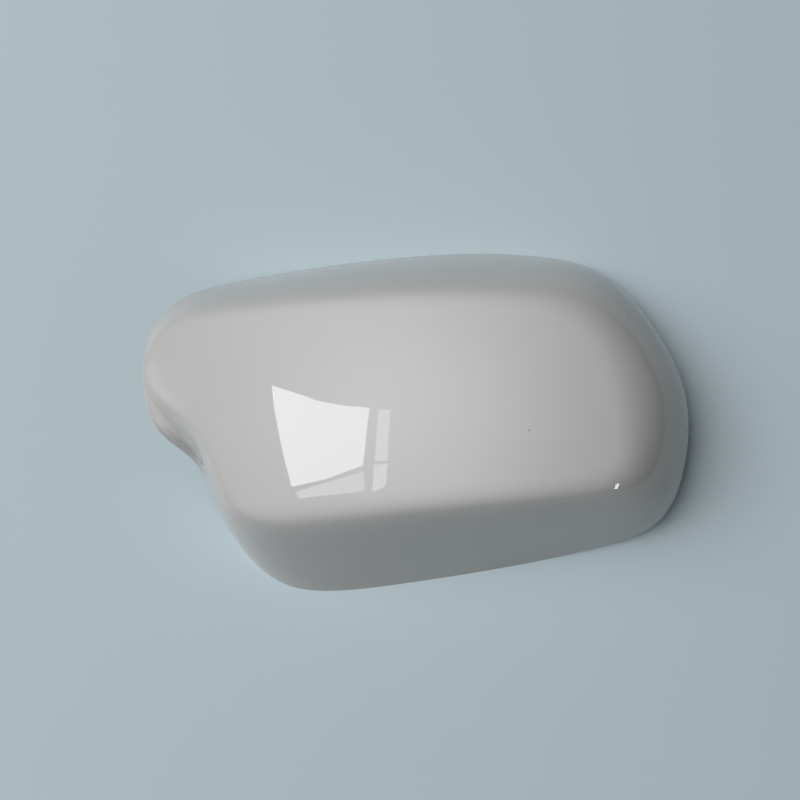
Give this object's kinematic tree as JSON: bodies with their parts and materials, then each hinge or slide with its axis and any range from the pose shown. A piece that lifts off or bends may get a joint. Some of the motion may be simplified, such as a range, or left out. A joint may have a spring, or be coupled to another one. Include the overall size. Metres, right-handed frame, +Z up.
{
  "type": "wing mirror cover",
  "caption": "Glossy white moulded back cover for a car's door mirror, open underneath, with a rounded tip, a sloped lower side and an arched neck with a flared lip.",
  "frame": {"origin": "middle of the bounding box in plan, on the plane that the rim rests on", "axes": "+X from the neck to the tip, +Y across the head towards the straight upper side, +Z up from the rim to the crown"},
  "size_m": [0.228, 0.15, 0.054],
  "materials": {
    "cover": "high gloss white"
  },
  "bodies": {
    "root": {"mirror_cover": "cover"}
  },
  "joints": []
}
